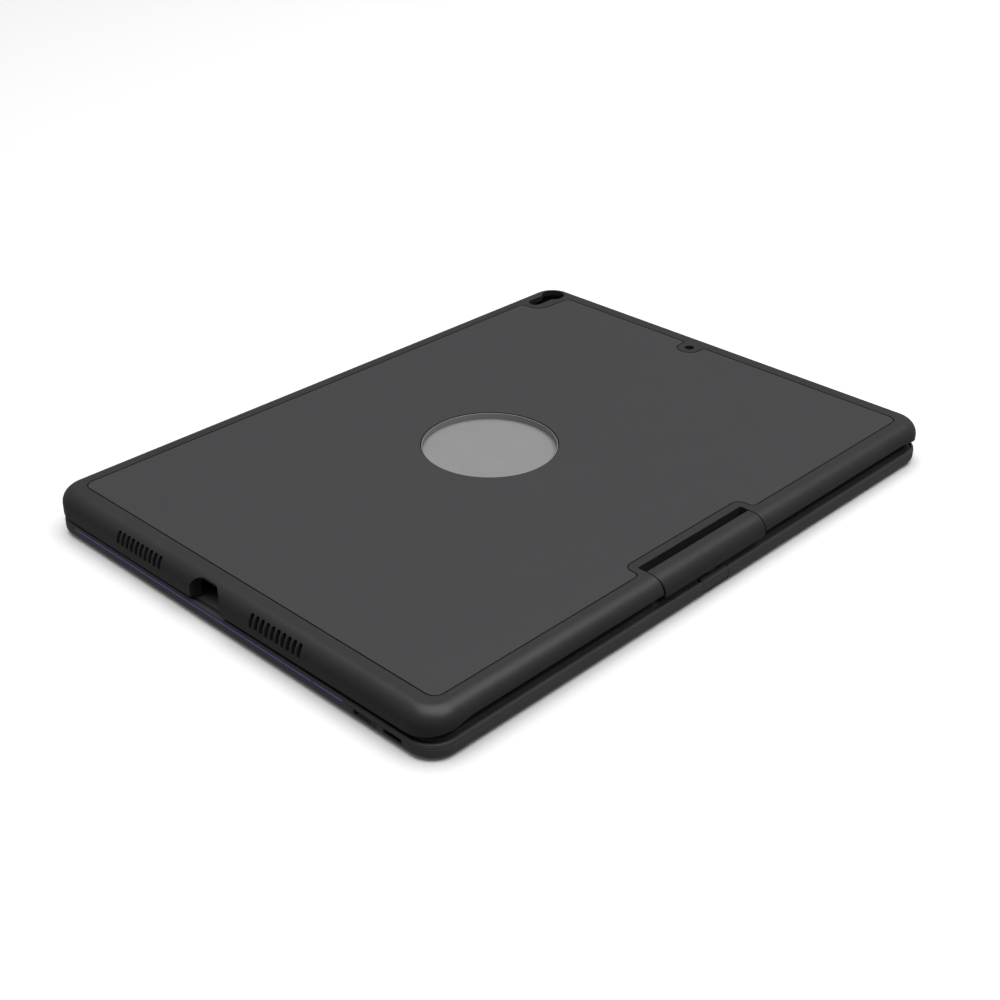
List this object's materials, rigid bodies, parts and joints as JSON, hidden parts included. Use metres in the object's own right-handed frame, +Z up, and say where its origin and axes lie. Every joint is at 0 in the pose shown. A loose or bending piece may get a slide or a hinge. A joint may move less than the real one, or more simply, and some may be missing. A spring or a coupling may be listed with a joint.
{
  "type": "tablet keyboard case",
  "caption": "Closed keyboard case for a tablet: a snap-in lid with a round window on a two-way rear hinge over a slim wireless keyboard base.",
  "frame": {"origin": "centre of the bounding box at the plane that the rubber feet stand on", "axes": "+X along the long edges towards the side with the charging opening, +Y towards the hinge edge, +Z up through the closed lid"},
  "size_m": [0.2592, 0.1928, 0.017],
  "materials": {
    "rim_plastic": "fine matte grain",
    "panel_plastic": "satin, finely brushed look",
    "base_plastic": "fine matte grain",
    "key_plastic": "smooth matte",
    "window_film": "satin grey film",
    "lining_felt": "short felt pile",
    "bright_steel": "brushed",
    "dark_steel": "dark coated steel",
    "rubber": "matte rubber",
    "light_strip": "clear violet light guide",
    "circuit_board": "green solder mask",
    "cell_pouch": "foil pouch",
    "clear_film": "milky film"
  },
  "bodies": {
    "base": {"bottom_cover": "base_plastic", "base_top_frame": "base_plastic", "swivel_bearing_block": "base_plastic", "key_support_plate": "bright_steel", "light_guide_sheet": "clear_film", "key_membrane": "clear_film", "key_deck": "base_plastic", "battery_left": "cell_pouch", "battery_right": "cell_pouch", "wake_magnet": "bright_steel", "circuit_board": "circuit_board", "usb_socket": "dark_steel", "switch_body": "key_plastic", "light_strip_long": "light_strip", "light_strip_short": "light_strip", "cover_screw_1": "dark_steel", "cover_screw_2": "dark_steel", "cover_screw_3": "dark_steel", "cover_screw_4": "dark_steel", "foot_1": "rubber", "foot_2": "rubber", "foot_3": "rubber", "foot_4": "rubber"},
    "hinge_block": {"hinge_cover": "rim_plastic", "hinge_core": "dark_steel", "torque_barrel_left": "bright_steel", "torque_barrel_right": "bright_steel", "swivel_post": "bright_steel", "swivel_washer": "bright_steel", "swivel_nut": "dark_steel"},
    "lid": {"lid_shell": "rim_plastic", "lid_panel": "panel_plastic", "window_lens": "window_film", "lid_lining": "lining_felt", "lid_rear_trim": "rim_plastic", "hinge_leaf_left": "bright_steel", "hinge_leaf_right": "bright_steel", "hinge_shaft_left": "bright_steel", "hinge_shaft_right": "bright_steel", "leaf_screw_left_1": "dark_steel", "leaf_screw_left_2": "dark_steel", "leaf_screw_right_1": "dark_steel", "leaf_screw_right_2": "dark_steel", "lid_bumper_left": "rubber", "lid_bumper_right": "rubber"},
    "power_switch": {"power_switch": "key_plastic"},
    "function_keys": {"function_keys": "key_plastic"},
    "number_keys": {"number_keys": "key_plastic"},
    "upper_letter_keys": {"upper_letter_keys": "key_plastic"},
    "home_letter_keys": {"home_letter_keys": "key_plastic"},
    "lower_letter_keys": {"lower_letter_keys": "key_plastic"},
    "left_modifier_keys": {"left_modifier_keys": "key_plastic"},
    "space_bar": {"space_bar": "key_plastic"},
    "right_modifier_keys": {"right_modifier_keys": "key_plastic"},
    "arrow_left_key": {"arrow_left_key": "key_plastic"},
    "arrow_up_key": {"arrow_up_key": "key_plastic"},
    "arrow_down_key": {"arrow_down_key": "key_plastic"},
    "arrow_right_key": {"arrow_right_key": "key_plastic"}
  },
  "joints": [
    {"name": "hinge_swivel", "type": "hinge", "parent": "base", "child": "hinge_block", "pos_m": [0, 0.0905, 0.0069], "axis": [0, 0, 1], "range_deg": [-180, 180]},
    {"name": "lid_tilt", "type": "hinge", "parent": "hinge_block", "child": "lid", "pos_m": [0, 0.0916, 0.01225], "axis": [-1, 0, 0], "range_deg": [0, 180]},
    {"name": "power_switch_slide", "type": "slide", "parent": "base", "child": "power_switch", "axis": [0, -1, 0], "range_m": [0, 0.002]},
    {"name": "function_press", "type": "slide", "parent": "base", "child": "function_keys", "axis": [0, 0, -1], "range_m": [0, 0.001], "stiffness_N_per_m": 8400},
    {"name": "number_press", "type": "slide", "parent": "base", "child": "number_keys", "axis": [0, 0, -1], "range_m": [0, 0.001], "stiffness_N_per_m": 8400},
    {"name": "upper_letter_press", "type": "slide", "parent": "base", "child": "upper_letter_keys", "axis": [0, 0, -1], "range_m": [0, 0.001], "stiffness_N_per_m": 8400},
    {"name": "home_letter_press", "type": "slide", "parent": "base", "child": "home_letter_keys", "axis": [0, 0, -1], "range_m": [0, 0.001], "stiffness_N_per_m": 7800},
    {"name": "lower_letter_press", "type": "slide", "parent": "base", "child": "lower_letter_keys", "axis": [0, 0, -1], "range_m": [0, 0.001], "stiffness_N_per_m": 7200},
    {"name": "left_modifier_press", "type": "slide", "parent": "base", "child": "left_modifier_keys", "axis": [0, 0, -1], "range_m": [0, 0.001], "stiffness_N_per_m": 2400},
    {"name": "space_bar_press", "type": "slide", "parent": "base", "child": "space_bar", "axis": [0, 0, -1], "range_m": [0, 0.001], "stiffness_N_per_m": 600},
    {"name": "right_modifier_press", "type": "slide", "parent": "base", "child": "right_modifier_keys", "axis": [0, 0, -1], "range_m": [0, 0.001], "stiffness_N_per_m": 1200},
    {"name": "arrow_left_press", "type": "slide", "parent": "base", "child": "arrow_left_key", "axis": [0, 0, -1], "range_m": [0, 0.001], "stiffness_N_per_m": 600},
    {"name": "arrow_up_press", "type": "slide", "parent": "base", "child": "arrow_up_key", "axis": [0, 0, -1], "range_m": [0, 0.001], "stiffness_N_per_m": 600},
    {"name": "arrow_down_press", "type": "slide", "parent": "base", "child": "arrow_down_key", "axis": [0, 0, -1], "range_m": [0, 0.001], "stiffness_N_per_m": 600},
    {"name": "arrow_right_press", "type": "slide", "parent": "base", "child": "arrow_right_key", "axis": [0, 0, -1], "range_m": [0, 0.001], "stiffness_N_per_m": 600}
  ]
}
